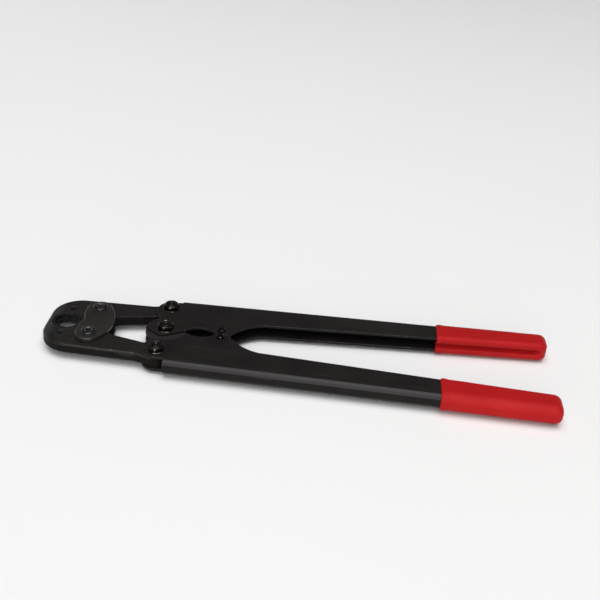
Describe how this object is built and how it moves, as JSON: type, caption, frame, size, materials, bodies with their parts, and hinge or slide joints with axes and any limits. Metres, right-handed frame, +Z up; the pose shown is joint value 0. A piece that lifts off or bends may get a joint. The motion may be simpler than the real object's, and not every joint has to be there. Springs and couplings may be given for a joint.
{
  "type": "pipe press pliers",
  "caption": "Manual pipe press pliers: forged jaws with exchangeable die halves, closed by long channel handles with dipped grips through a compound lever.",
  "frame": {"origin": "centre of the press mouth, midway through the thickness of the closed jaws", "axes": "+X back along the tool to the grips, +Y to the side of the upper jaw and handle, +Z up from the face the tool lies on, along the pivot bolts"},
  "size_m": [0.585, 0.1644, 0.0313],
  "materials": {
    "jaw_steel": "black phosphated forging",
    "die_steel": "blackened machined steel",
    "head_plate_steel": "satin black",
    "handle_paint": "satin black paint on sheet steel",
    "black_fastener": "black oxide",
    "pivot_steel": "oiled dark zinc",
    "grip_vinyl": "red dipped vinyl, semi-gloss"
  },
  "bodies": {
    "head": {"top_head_plate": "head_plate_steel", "bottom_head_plate": "head_plate_steel", "head_pins": "black_fastener", "head_pin_screws": "black_fastener"},
    "centre_pivot": {"centre_bolt": "pivot_steel", "centre_washer": "pivot_steel", "centre_nut": "pivot_steel", "centre_spacer": "pivot_steel"},
    "upper_handle": {"upper_handle": "handle_paint", "upper_grip": "grip_vinyl", "upper_jaw_bolt": "pivot_steel", "upper_jaw_washer": "pivot_steel", "upper_jaw_nut": "pivot_steel", "upper_stop_sleeve": "pivot_steel", "upper_stop_bolt": "pivot_steel", "upper_stop_nut": "pivot_steel"},
    "upper_jaw": {"upper_jaw": "jaw_steel", "upper_die": "die_steel", "upper_die_screw": "black_fastener"},
    "lower_handle": {"lower_handle": "handle_paint", "lower_grip": "grip_vinyl", "lower_jaw_bolt": "pivot_steel", "lower_jaw_washer": "pivot_steel", "lower_jaw_nut": "pivot_steel", "lower_stop_sleeve": "pivot_steel", "lower_stop_bolt": "pivot_steel", "lower_stop_nut": "pivot_steel"},
    "lower_jaw": {"lower_jaw": "jaw_steel", "lower_die": "die_steel", "lower_die_screw": "black_fastener"}
  },
  "joints": [
    {"name": "centre_slide", "type": "slide", "parent": "head", "child": "centre_pivot", "axis": [1, 0, 0], "range_m": [0, 0.04077]},
    {"name": "upper_handle_swing", "type": "hinge", "parent": "centre_pivot", "child": "upper_handle", "pos_m": [0.115, 0, 0], "axis": [0, 0, 1], "range_deg": [0, 60]},
    {"name": "lower_handle_swing", "type": "hinge", "parent": "centre_pivot", "child": "lower_handle", "pos_m": [0.115, 0, 0], "axis": [0, 0, 1], "range_deg": [-60, 0]},
    {"name": "upper_jaw_pivot", "type": "hinge", "parent": "upper_handle", "child": "upper_jaw", "pos_m": [0.113, 0.046, 0], "axis": [0, 0, 1], "range_deg": [-77.16, 0]},
    {"name": "lower_jaw_pivot", "type": "hinge", "parent": "lower_handle", "child": "lower_jaw", "pos_m": [0.113, -0.046, 0], "axis": [0, 0, 1], "range_deg": [0, 77.16]}
  ],
  "couplings": [
    {"joint": "centre_slide", "follows": "upper_handle_swing", "m_per_rad": 0.038926},
    {"joint": "lower_handle_swing", "follows": "upper_handle_swing", "ratio": -1},
    {"joint": "upper_jaw_pivot", "follows": "upper_handle_swing", "ratio": -1.286},
    {"joint": "lower_jaw_pivot", "follows": "upper_handle_swing", "ratio": 1.286}
  ]
}
